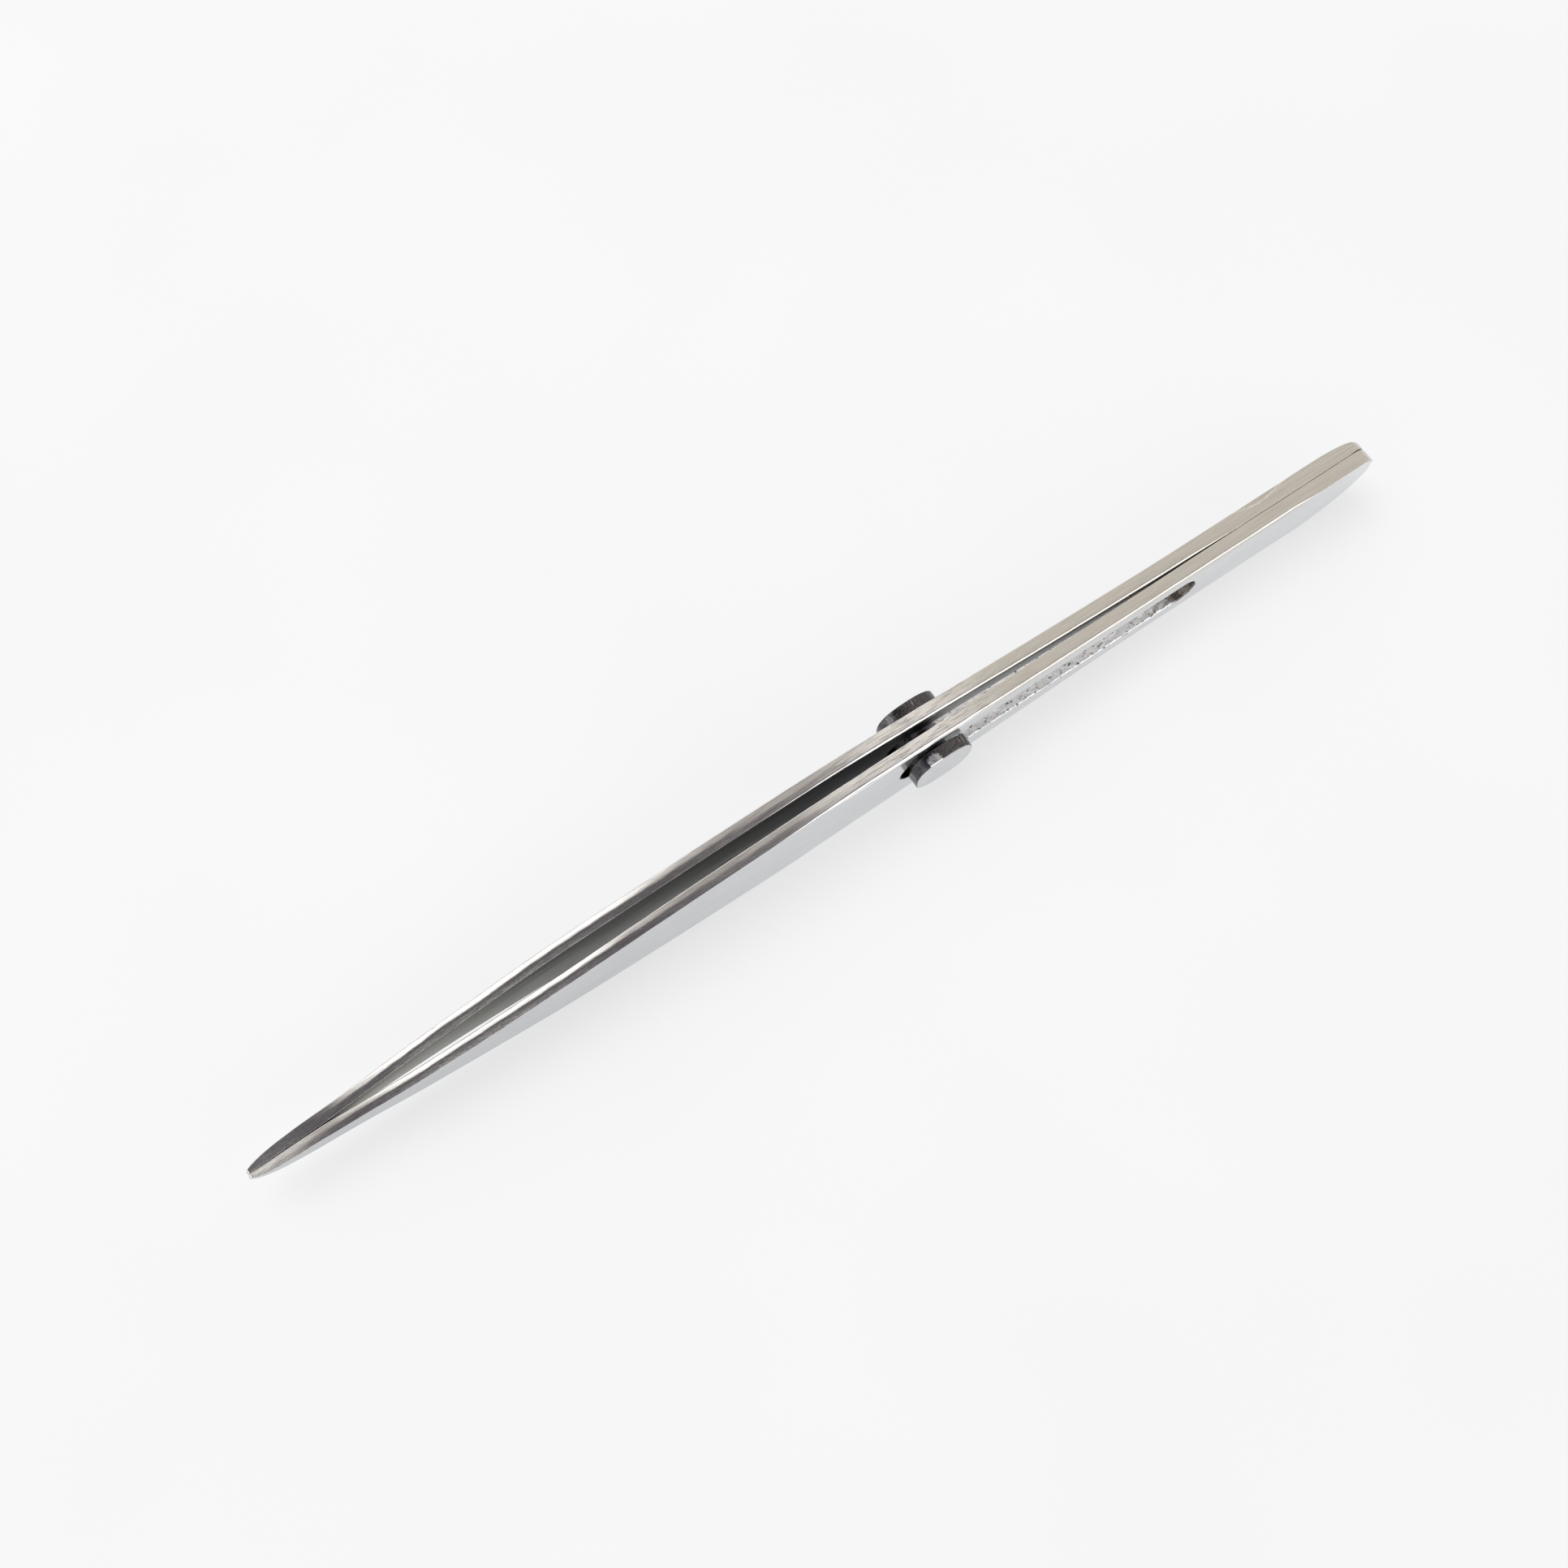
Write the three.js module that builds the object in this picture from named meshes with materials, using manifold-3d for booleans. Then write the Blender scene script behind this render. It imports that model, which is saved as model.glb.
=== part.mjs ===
// Slide-lock tweezers, used to trim and lift candle wicks.
//
// Two steel arms lie face to face and are welded together at their rear end. Each arm has a
// lengthwise slot. A shouldered pin runs across both slots and holds an oval button outside each
// arm. With the slider at the front of the slots the buttons hold the tips shut. When it slides
// back, the arms spring open.
//
// Each arm is one strip of steel on the real tool. Here it is cut in two just in front of the
// weld, into a tang, which is held by the weld, and a leg, which springs open about that place.
//
// Frame, in millimetres: +X runs from the tips to the rear end, +Y from the near arm to the far
// arm, and +Z up. The tool lies on the long lower edges of its arms at z = 0, and the origin is
// under the middle of its box. A station is a distance from the tips, measured along X.

import * as THREE from 'three';
import { mergeVertices } from 'three/addons/utils/BufferGeometryUtils.js';
import Module from 'manifold-3d';

const wasm = await Module();
wasm.setup();

// ---------------------------------------------------------------- driving dimensions

const LENGTH = 165;
const NEAR = -1;
const FAR = 1;

// side view of an arm
const PEAK_STATION = 77;
const PEAK_HEIGHT = 12;
const REAR_HEIGHT = 9.4;
const TIP_HEIGHT = 7;
const TIP_RADIUS = 0.4;
const BACK_CORNER = { long: 2.2, high: 1.8 };
const HEEL_CORNER = { long: 14, high: 7.4 };
// half the arm's height at stations along the tip taper
const TAPER = [[7, 1.25], [14, 1.6], [29, 2.95], [42, 4.4], [58, 5.35]];
// height of the back edge at stations behind the peak
const BACK_EDGE = [[93, 11.45], [111, 10.35], [130, 9.55]];
const REAR_EDGE_STATION = 148;
// the lower edge is flat from here back, but for a shallow waist between two resting stretches
const REST_FRONT = 73;
const WAIST = { front: 99, rear: 140, depth: 0.35, softness: 6 };

// plan view of an arm, measured out from the middle plane between the arms
const SEAM_HALF_GAP = 0.03;
// half the gap between the arms at stations between the closed tips and the weld
const BOW = [[23, 0.68], [38, 1], [53, 1], [83, 0.79], [103, 0.5], [128, 0.14]];
const CLOSED_TIP_END = 10;
const WELD_FRONT = 143;
// the arm's thickness at stations from the tip
const THICKNESS = [
  [0, 0.42], [1, 0.8], [3, 1.15], [6, 1.36], [14, 1.52], [80, 1.7], [WELD_FRONT, 2], [LENGTH, 2],
];
const REAR_CORNER = { near: { long: 0.4, deep: 0.4 }, far: { long: 8, deep: 1.7 } };
const TANG_LEG_GAP = 0.3;

// slot and slider
// the slot follows the arm's middle, so it falls a little from its front to its rear
const SLOT = { front: 89.3, rear: 136, height: 4.6, frontZ: 6.3, rearZ: 5.2 };
const SLIDER_STATION = 94.5;
const PIN_DIAMETER = 4.2;
const BUTTON = { length: 8.4, height: 7.4, thickness: 1.7, innerFace: 2.66, squareness: 2.5 };
const SPIGOT = { diameter: 2.4, length: 1, clearance: 0.1, shoulderGap: 0.05 };

// how finely curves are cut into flats
const CURVE_STEPS = 4;
const ROUND_STEPS = 40;

// ---------------------------------------------------------------- helpers

const stationX = (station) => station - LENGTH / 2;

const point = (station, offset) => new THREE.Vector2(stationX(station), offset);

// A value that runs in straight lines between [station, value] pairs.
function valueAt(pairs, station) {
  const next = Math.max(1, pairs.findIndex(([s]) => s >= station));
  const [s0, v0] = pairs[next - 1];
  const [s1, v1] = pairs[next];
  return v0 + ((station - s0) / (s1 - s0)) * (v1 - v0);
}

// A manifold solid from a three.js geometry.
function solid(geometry) {
  const bare = geometry.index ? geometry.toNonIndexed() : geometry.clone();
  bare.deleteAttribute('normal');
  bare.deleteAttribute('uv');
  const merged = mergeVertices(bare, 1e-5);
  const mesh = new wasm.Mesh({
    numProp: 3,
    vertProperties: new Float32Array(merged.attributes.position.array),
    triVerts: new Uint32Array(merged.index.array),
  });
  return new wasm.Manifold(mesh);
}

// A named three.js mesh from a manifold solid.
function piece(name, body, material) {
  const { vertProperties, triVerts } = body.getMesh();
  const geometry = new THREE.BufferGeometry();
  geometry.setAttribute('position', new THREE.BufferAttribute(vertProperties, 3));
  geometry.setIndex(new THREE.BufferAttribute(triVerts, 1));
  geometry.computeVertexNormals();
  const mesh = new THREE.Mesh(geometry, material);
  mesh.name = name;
  return mesh;
}

function steel(colour, roughness) {
  return new THREE.MeshStandardMaterial({ color: colour, roughness, metalness: 1 });
}

// A side outline, drawn with x along the tool and y up, pushed out along Y between two planes.
function acrossPrism(shape, yLow, yHigh) {
  const geometry = new THREE.ExtrudeGeometry(shape, {
    depth: yHigh - yLow,
    bevelEnabled: false,
    curveSegments: CURVE_STEPS,
  });
  geometry.rotateX(Math.PI / 2);
  geometry.translate(0, yHigh, 0);
  return solid(geometry);
}

// A plan outline pushed up along Z from 0.
function uprightPrism(shape, height) {
  const geometry = new THREE.ExtrudeGeometry(shape, {
    depth: height,
    bevelEnabled: false,
    curveSegments: CURVE_STEPS,
  });
  return solid(geometry);
}

// ---------------------------------------------------------------- arms

// Height of the taper's centre line, which falls from the tip to the peak.
function taperCentre(station) {
  const share = station / PEAK_STATION;
  return TIP_HEIGHT + share * (PEAK_HEIGHT / 2 - TIP_HEIGHT);
}

// The arm seen from the side.
function sideOutline() {
  const shape = new THREE.Shape();
  const rear = stationX(LENGTH);
  const upper = TAPER.map(([s, half]) => point(s, taperCentre(s) + half));
  const lower = TAPER.map(([s, half]) => point(s, taperCentre(s) - half));

  // round tip, then the back edge up the taper, over the peak and down to the rear
  shape.absarc(stationX(TIP_RADIUS), TIP_HEIGHT, TIP_RADIUS, 1.5 * Math.PI, 0.5 * Math.PI, true);
  shape.splineThru([
    ...upper,
    point(PEAK_STATION, PEAK_HEIGHT),
    ...BACK_EDGE.map(([s, z]) => point(s, z)),
    point(REAR_EDGE_STATION, REAR_HEIGHT),
  ]);

  // rear end: a tight corner above and a long round heel below
  const back = BACK_CORNER;
  const heel = HEEL_CORNER;
  shape.lineTo(rear - back.long, REAR_HEIGHT);
  shape.absellipse(rear - back.long, REAR_HEIGHT - back.high,
    back.long, back.high, Math.PI / 2, 0, true);
  shape.absellipse(rear - heel.long, heel.high, heel.long, heel.high, 0, -Math.PI / 2, true);

  // lower edge: flat, a shallow waist, flat again, then the taper back to the tip
  const waistX = stationX((WAIST.front + WAIST.rear) / 2);
  const { depth, softness } = WAIST;
  shape.lineTo(stationX(WAIST.rear), 0);
  shape.bezierCurveTo(waistX + softness, 0, waistX + softness, depth, waistX, depth);
  shape.bezierCurveTo(waistX - softness, depth, waistX - softness, 0, stationX(WAIST.front), 0);
  shape.lineTo(stationX(REST_FRONT), 0);
  shape.splineThru([...lower].reverse().concat(point(TIP_RADIUS, TIP_HEIGHT - TIP_RADIUS)));
  return shape;
}

// The arm's strip seen from above, on the side that `side` names.
function planOutline(side, corner) {
  const shape = new THREE.Shape();
  const at = (station, offset) => point(station, side * offset);
  const bow = [[CLOSED_TIP_END, SEAM_HALF_GAP], ...BOW, [WELD_FRONT, SEAM_HALF_GAP]];
  const innerFace = [[0, SEAM_HALF_GAP], ...bow];
  const shapedStations = [...THICKNESS, ...BOW].map(([s]) => s).filter((s) => s <= WELD_FRONT);
  const outerFace = shapedStations
    .sort((a, b) => b - a)
    .map((s) => at(s, valueAt(innerFace, s) + valueAt(THICKNESS, s)));
  const outerRear = SEAM_HALF_GAP + valueAt(THICKNESS, LENGTH);

  shape.moveTo(stationX(0), side * SEAM_HALF_GAP);
  shape.lineTo(stationX(CLOSED_TIP_END), side * SEAM_HALF_GAP);
  shape.splineThru(bow.slice(1).map(([s, y]) => at(s, y)));
  shape.lineTo(stationX(LENGTH), side * SEAM_HALF_GAP);
  shape.lineTo(stationX(LENGTH), side * (outerRear - corner.deep));
  shape.quadraticCurveTo(stationX(LENGTH), side * outerRear,
    stationX(LENGTH - corner.long), side * outerRear);
  shape.lineTo(stationX(WELD_FRONT), side * outerRear);
  shape.splineThru(outerFace.slice(1));
  return shape;
}

// The slot's middle line, between the centres of its round ends.
const slotRadius = SLOT.height / 2;
const slotFront = point(SLOT.front + slotRadius, SLOT.frontZ);
const slotRear = point(SLOT.rear - slotRadius, SLOT.rearZ);
const slotTilt = slotRear.clone().sub(slotFront).angle();
const slotZ = (station) => slotFront.y + (stationX(station) - slotFront.x) * Math.tan(slotTilt);

function slotOutline() {
  const up = slotTilt + Math.PI / 2;
  const shape = new THREE.Shape();
  shape.absarc(slotFront.x, slotFront.y, slotRadius, up - Math.PI, up, true);
  shape.absarc(slotRear.x, slotRear.y, slotRadius, up, up - Math.PI, true);
  return shape;
}

// A block that holds the tool between two stations.
function stretch(fromStation, toStation) {
  const length = toStation - fromStation;
  const box = new THREE.BoxGeometry(length, 4 * PEAK_HEIGHT, 4 * PEAK_HEIGHT);
  box.translate(stationX(fromStation + length / 2), 0, 0);
  return solid(box);
}

function arm(side, name, corner, material) {
  const reach = 2 * BUTTON.innerFace;
  const strip = uprightPrism(planOutline(side, corner), PEAK_HEIGHT);
  const profile = acrossPrism(sideOutline(), -reach, reach);
  const slot = acrossPrism(slotOutline(), -reach, reach);
  const whole = strip.intersect(profile).subtract(slot);
  const cut = TANG_LEG_GAP / 2;
  return [
    piece(`${name}_leg`, whole.intersect(stretch(-1, WELD_FRONT - cut)), material),
    piece(`${name}_tang`, whole.intersect(stretch(WELD_FRONT + cut, LENGTH + 1)), material),
  ];
}

// ---------------------------------------------------------------- slider

// An oval that is a little squarer than an ellipse.
function ovalOutline() {
  const shape = new THREE.Shape();
  const power = 2 / BUTTON.squareness;
  for (let step = 0; step < ROUND_STEPS; step += 1) {
    const angle = (step / ROUND_STEPS) * 2 * Math.PI;
    const along = Math.sign(Math.cos(angle)) * Math.abs(Math.cos(angle)) ** power;
    const up = Math.sign(Math.sin(angle)) * Math.abs(Math.sin(angle)) ** power;
    const x = stationX(SLIDER_STATION) + (along * BUTTON.length) / 2;
    const z = slotZ(SLIDER_STATION) + (up * BUTTON.height) / 2;
    if (step === 0) {
      shape.moveTo(x, z);
    } else {
      shape.lineTo(x, z);
    }
  }
  return shape;
}

// A round bar across the tool on the slider's axis.
function crossBar(diameter, length, yMiddle) {
  const bar = new THREE.CylinderGeometry(diameter / 2, diameter / 2, length, ROUND_STEPS);
  bar.translate(stationX(SLIDER_STATION), yMiddle, slotZ(SLIDER_STATION));
  return solid(bar);
}

function button(side, name, material) {
  const inner = side * BUTTON.innerFace;
  const outer = side * (BUTTON.innerFace + BUTTON.thickness);
  const disc = acrossPrism(ovalOutline(), Math.min(inner, outer), Math.max(inner, outer));
  const socketDepth = SPIGOT.length + SPIGOT.clearance;
  // the socket's tool starts inside the tool, so that it opens cleanly through the inner face
  const socket = crossBar(SPIGOT.diameter + 2 * SPIGOT.clearance, 2 * socketDepth, inner);
  return piece(name, disc.subtract(socket), material);
}

function pin(material) {
  const shoulder = 2 * (BUTTON.innerFace - SPIGOT.shoulderGap);
  const overall = 2 * (BUTTON.innerFace + SPIGOT.length);
  const body = crossBar(PIN_DIAMETER, shoulder, 0).add(crossBar(SPIGOT.diameter, overall, 0));
  return piece('slide_pin', body, material);
}

// ---------------------------------------------------------------- the tool

const armSteel = steel(0xc4c6c8, 0.22);
const buttonSteel = steel(0xb4b6b9, 0.18);
const pinSteel = steel(0x9a9ca0, 0.35);

const tool = new THREE.Group();
tool.add(...arm(NEAR, 'near_arm', REAR_CORNER.near, armSteel));
tool.add(...arm(FAR, 'far_arm', REAR_CORNER.far, armSteel));
tool.add(pin(pinSteel));
tool.add(button(NEAR, 'near_button', buttonSteel));
tool.add(button(FAR, 'far_button', buttonSteel));

export default tool;
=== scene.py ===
# Slide-lock tweezers: fine surfaces, materials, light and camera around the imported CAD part.
#
# Shapes are worked out in millimetres in the part's frame: +X from the tips to the rear end, +Y
# from the near arm to the far arm and +Z up. A station is a distance from the tips. Meshes are
# written in metres.

import math

import bpy
import bmesh
import numpy as np
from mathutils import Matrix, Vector, noise


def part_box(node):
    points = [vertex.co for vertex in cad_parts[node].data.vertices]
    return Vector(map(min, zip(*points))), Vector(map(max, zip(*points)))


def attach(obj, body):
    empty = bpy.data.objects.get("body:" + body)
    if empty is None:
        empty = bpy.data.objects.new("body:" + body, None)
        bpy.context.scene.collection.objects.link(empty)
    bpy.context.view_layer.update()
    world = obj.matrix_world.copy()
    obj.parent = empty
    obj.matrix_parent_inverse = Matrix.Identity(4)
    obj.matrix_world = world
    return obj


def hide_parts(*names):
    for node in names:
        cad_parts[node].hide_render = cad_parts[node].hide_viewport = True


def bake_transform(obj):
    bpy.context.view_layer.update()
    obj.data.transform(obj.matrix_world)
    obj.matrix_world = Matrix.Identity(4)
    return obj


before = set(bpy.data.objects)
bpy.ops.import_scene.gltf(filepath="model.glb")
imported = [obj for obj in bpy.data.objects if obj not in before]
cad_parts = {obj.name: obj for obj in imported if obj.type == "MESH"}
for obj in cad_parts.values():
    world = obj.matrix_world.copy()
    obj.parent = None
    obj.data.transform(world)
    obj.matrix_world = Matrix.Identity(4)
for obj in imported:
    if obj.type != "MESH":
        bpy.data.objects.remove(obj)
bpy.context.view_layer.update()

MM = 0.001
NEAR = -1
FAR = 1

# ---------------------------------------------------------------- sizes taken from the CAD frame


def box_mm(node):
    """The low and high corners of a CAD node's box, in millimetres."""
    low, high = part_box(node)
    return np.array(low) / MM, np.array(high) / MM


TIP_X = box_mm("near_arm_leg")[0][0]
LENGTH = box_mm("near_arm_tang")[1][0] - TIP_X
PIN_LOW, PIN_HIGH = box_mm("slide_pin")
BUTTON_LOW, BUTTON_HIGH = box_mm("far_button")
SLIDER_X, _, SLIDER_Z = (PIN_LOW + PIN_HIGH) / 2
PIN_RADIUS = (PIN_HIGH[2] - PIN_LOW[2]) / 2
BUTTON_LENGTH, BUTTON_THICKNESS, BUTTON_HEIGHT = BUTTON_HIGH - BUTTON_LOW
BUTTON_INNER_FACE = BUTTON_LOW[1]

# ---------------------------------------------------------------- outlines, as in the CAD part

PEAK_STATION, PEAK_HEIGHT = 77, 12
REAR_HEIGHT = 9.4
TIP_HEIGHT, TIP_RADIUS = 7, 0.4
BACK_CORNER = (2.2, 1.8)
HEEL_CORNER = (14, 7.4)
# (station, half the height) on the taper, and (station, height) from the bulge to the weld
TAPER = [(7, 1.25), (14, 1.6), (29, 2.95), (42, 4.4), (58, 5.35)]
BACK_EDGE = [(93, 11.45), (111, 10.35), (130, 9.55)]
REAR_EDGE_STATION = 148
REST_FRONT = 73
WAIST_FRONT, WAIST_REAR, WAIST_DEPTH, WAIST_SOFTNESS = 99, 140, 0.35, 6

SEAM_HALF_GAP = 0.03
TIP_HALF_GAP, END_HALF_GAP = 0.08, 0.13
# (station, half the gap between the arms) where they are bowed apart
BOW = [(23, 0.68), (38, 1), (53, 1), (83, 0.79), (103, 0.5), (128, 0.14)]
CLOSED_TIP_END = 10
WELD_FRONT = 143
# (station, thickness) of each arm's strip
THICKNESS = [
    (0, 0.42), (1, 0.8), (3, 1.15), (6, 1.36), (14, 1.52), (80, 1.7), (WELD_FRONT, 2), (LENGTH, 2),
]

SLOT_FRONT, SLOT_REAR, SLOT_HEIGHT = 89.3, 136, 4.6
SLOT_FRONT_Z, SLOT_REAR_Z = 6.3, 5.2
# how far along and how far across the strip each arm's rear corner is rounded
REAR_CORNER = {NEAR: (0.4, 0.4), FAR: (8, 1.7)}
BUTTON_SQUARENESS = 2.5

# ---------------------------------------------------------------- curves


def curve_through(points, steps=24):
    """The uniform Catmull-Rom curve through some points, cut into `steps` pieces per stretch."""
    knots = np.array(points, float)
    padded = np.vstack([knots[:1], knots, knots[-1:]])
    t = np.linspace(0, 1, steps, endpoint=False)[:, None]
    stretches = []
    for before, a, b, after in zip(padded, padded[1:], padded[2:], padded[3:]):
        leave = (b - before) / 2
        arrive = (after - a) / 2
        cubic = 2 * a - 2 * b + leave + arrive
        square = 3 * b - 3 * a - 2 * leave - arrive
        stretches.append(cubic * t**3 + square * t**2 + leave * t + a)
    return np.vstack(stretches + [knots[-1:]])


def bezier(points, steps=24):
    """A cubic Bezier curve, without its first point."""
    a, b, c, d = np.array(points, float)
    t = np.linspace(0, 1, steps + 1)[1:, None]
    return a * (1 - t) ** 3 + 3 * b * t * (1 - t) ** 2 + 3 * c * t**2 * (1 - t) + d * t**3


def ellipse(centre, radii, start, end, steps=24):
    """Points on an ellipse from one angle to another, in degrees."""
    angles = np.radians(np.linspace(start, end, steps + 1))
    return np.column_stack([
        centre[0] + radii[0] * np.cos(angles),
        centre[1] + radii[1] * np.sin(angles),
    ])


def straight(start, end, step=1.0):
    """Points on a straight line, without its first point."""
    start, end = np.array(start, float), np.array(end, float)
    count = max(1, round(np.linalg.norm(end - start) / step))
    t = np.linspace(0, 1, count + 1)[1:, None]
    return start + (end - start) * t


def values_at(pairs, stations):
    """Straight lines between (station, value) pairs."""
    known, values = np.array(pairs, float).T
    return np.interp(stations, known, values)


def ease(stations, start, end):
    """0 before start, 1 after end, and smooth between."""
    t = np.clip((np.asarray(stations, float) - start) / (end - start), 0, 1)
    return t * t * (3 - 2 * t)


def bump_between(stations, rise_start, rise_end, fall_start, fall_end):
    """1 on a stretch, easing to 0 outside it."""
    return ease(stations, rise_start, rise_end) * (1 - ease(stations, fall_start, fall_end))


class SmoothLine:
    """The value and the slope of a curve at any station."""

    def __init__(self, points):
        self.stations, self.values = np.array(points, float).T
        self.slopes = np.gradient(self.values, self.stations)

    def value(self, stations):
        return np.interp(stations, self.stations, self.values)

    def slope(self, stations):
        return np.interp(stations, self.stations, self.slopes)


class Chain:
    """One long edge of an arm's side outline, from the middle of the tip to the rear end."""

    def __init__(self, points, outward):
        self.points = np.array(points, float)
        steps = np.linalg.norm(np.diff(self.points, axis=0), axis=1)
        self.run = np.concatenate([[0], np.cumsum(steps)])
        tangent = np.gradient(self.points, self.run, axis=0)
        tangent /= np.linalg.norm(tangent, axis=1)[:, None]
        self.normals = outward * np.column_stack([-tangent[:, 1], tangent[:, 0]])

    def at_run(self, run):
        """Points and outward normals at distances along the chain."""
        points = [np.interp(run, self.run, self.points[:, axis]) for axis in (0, 1)]
        normals = [np.interp(run, self.run, self.normals[:, axis]) for axis in (0, 1)]
        return np.column_stack(points), np.column_stack(normals)

    def run_at(self, stations):
        """Distances along the chain at stations ahead of the rear end."""
        before_rear = self.points[:, 0] < REAR_EDGE_STATION + 1
        return np.interp(stations, self.points[before_rear, 0], self.run[before_rear])


def taper_centre(station):
    """Height of the middle line of the arms' taper."""
    return TIP_HEIGHT + station / PEAK_STATION * (PEAK_HEIGHT / 2 - TIP_HEIGHT)


REAR_MEETING = (LENGTH, (REAR_HEIGHT - BACK_CORNER[1] + HEEL_CORNER[1]) / 2)


def upper_chain():
    """The back: taper, bulge, the fall to the weld and the rear corner."""
    tip = ellipse((TIP_RADIUS, TIP_HEIGHT), (TIP_RADIUS, TIP_RADIUS), 180, 90)
    back = curve_through([
        tip[-1],
        *[(s, taper_centre(s) + half) for s, half in TAPER],
        (PEAK_STATION, PEAK_HEIGHT),
        *BACK_EDGE,
        (REAR_EDGE_STATION, REAR_HEIGHT),
    ])
    corner = ellipse((LENGTH - BACK_CORNER[0], REAR_HEIGHT - BACK_CORNER[1]), BACK_CORNER, 90, 0)
    top = straight(back[-1], corner[0])
    end = straight(corner[-1], REAR_MEETING, 0.2)
    return Chain(np.vstack([tip[:-1], back, top[:-1], corner, end]), 1)


def lower_chain():
    """The belly: taper, front rest, waist, rear rest and the round heel."""
    tip = ellipse((TIP_RADIUS, TIP_HEIGHT), (TIP_RADIUS, TIP_RADIUS), 180, 270)
    belly = curve_through([
        tip[-1],
        *[(s, taper_centre(s) - half) for s, half in TAPER],
        (REST_FRONT, 0),
    ])
    middle = (WAIST_FRONT + WAIST_REAR) / 2
    before, after = middle - WAIST_SOFTNESS, middle + WAIST_SOFTNESS
    waist = np.vstack([
        bezier([(WAIST_FRONT, 0), (before, 0), (before, WAIST_DEPTH), (middle, WAIST_DEPTH)]),
        bezier([(middle, WAIST_DEPTH), (after, WAIST_DEPTH), (after, 0), (WAIST_REAR, 0)]),
    ])
    heel = ellipse((LENGTH - HEEL_CORNER[0], HEEL_CORNER[1]), HEEL_CORNER, -90, 0, 48)
    front_rest = straight(belly[-1], (WAIST_FRONT, 0))
    rear_rest = straight(waist[-1], heel[0])
    end = straight(heel[-1], REAR_MEETING, 0.2)
    return Chain(np.vstack([tip[:-1], belly, front_rest, waist, rear_rest[:-1], heel, end]), -1)


# the inner faces stand a hair further apart than in the CAD at both ends, where the seam is open
BOW_CURVE = curve_through([(CLOSED_TIP_END, TIP_HALF_GAP), *BOW, (WELD_FRONT, SEAM_HALF_GAP)])
INNER_FACE = SmoothLine([
    (0, TIP_HALF_GAP), *BOW_CURVE, (LENGTH - 2.8, SEAM_HALF_GAP), (LENGTH, END_HALF_GAP),
])


def outer_face(corner):
    """An arm's outer face, which turns in at the rear end."""
    long, deep = corner
    knots = [(0, SEAM_HALF_GAP), (CLOSED_TIP_END, SEAM_HALF_GAP), *BOW,
             (WELD_FRONT, SEAM_HALF_GAP), (LENGTH, SEAM_HALF_GAP)]
    shaped = sorted(s for s, _ in THICKNESS + BOW if s <= WELD_FRONT)
    offsets = values_at(knots, shaped) + values_at(THICKNESS, shaped)
    curve = curve_through(np.column_stack([shaped, offsets]))
    share = np.linspace(1, 0, 40)
    widest = SEAM_HALF_GAP + THICKNESS[-1][1]
    turn = np.column_stack([LENGTH - long * share**2, widest - deep * (1 - share) ** 2])
    return SmoothLine([*curve, *turn])


OUTER_FACE = {side: outer_face(corner) for side, corner in REAR_CORNER.items()}

# ---------------------------------------------------------------- the arms' mesh

POLISHED, GROUND, STAMPED, ROLLED = range(4)

# rows of faces from an edge to the slot, or to the line in the slot's place
FACE_ROWS = 6
# the least and the most of a column's height that its middle vertex may stand at
MIDDLE_RISE = (0.3, 0.7)
# columns at the round tip, on the taper (crowded toward the tip), at each end of the slot, from the
# slot to the weld and round the rear end
TIP_COLUMNS = 6
TAPER_COLUMNS, TAPER_CROWDING = 150, 1.25
SLOT_END_COLUMNS, SLOT_COLUMN_STEP = 14, 0.3
SLOT_MARGIN = 0.6
FALL_COLUMNS = 22
REAR_COLUMNS = 64

FILLET_STEPS = 4
CROWN_STEPS = 12
THINNEST_FILLET, SEAM_FILLET, REAR_END_FILLET = 0.03, 0.05, 0.08
# the fillet at an edge's near side grows behind the bulge, and the one at its far side on the taper
NEAR_FILLET_GROWTH = 0.47
FAR_FILLET, FAR_FILLET_GROWTH = 0.06, 0.07
# a fillet takes at most this share of the arm's thickness
FILLET_SHARE = 0.28

# the edges are ground to two slopes: slight everywhere, more on the taper and steep on its front
ROOF, TAPER_ROOF, STEEP_ROOF = 0.04, 0.04, 0.3
ROOF_START, ROOF_FULL = 6, 24
STEEP_END, STEEP_FADE = {NEAR: 40, FAR: 46}, 21
TIP_LEAN = {NEAR: 0.1, FAR: 0.2}
# the rounding of the ridge between the slopes, as a share of the arm's thickness
RIDGE_SOFTNESS = 0.12

# the press mark in the far arm's back: how wide, its wall's depth and width, its floor's slope
DENT_WIDTH, DENT_DEPTH, DENT_WALL, DENT_RISE = 0.85, 0.085, 0.2, 0.09
DENT_FRONT, DENT_MIDDLE, DENT_REAR = 143.5, 148, 154

LOWER, UPPER = -1, 1
SLOT_INNER_FILLET, SLOT_OUTER_FILLET = 0.09, 0.06
SLOT_RAGGED = {LOWER: 0.32, UPPER: 0.04}
PIT_DEPTH, PITS_PER_MM = 0.07, 1.6
FINE_PIT_DEPTH, FINE_PITS_PER_PIT = 0.03, 3.1


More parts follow.
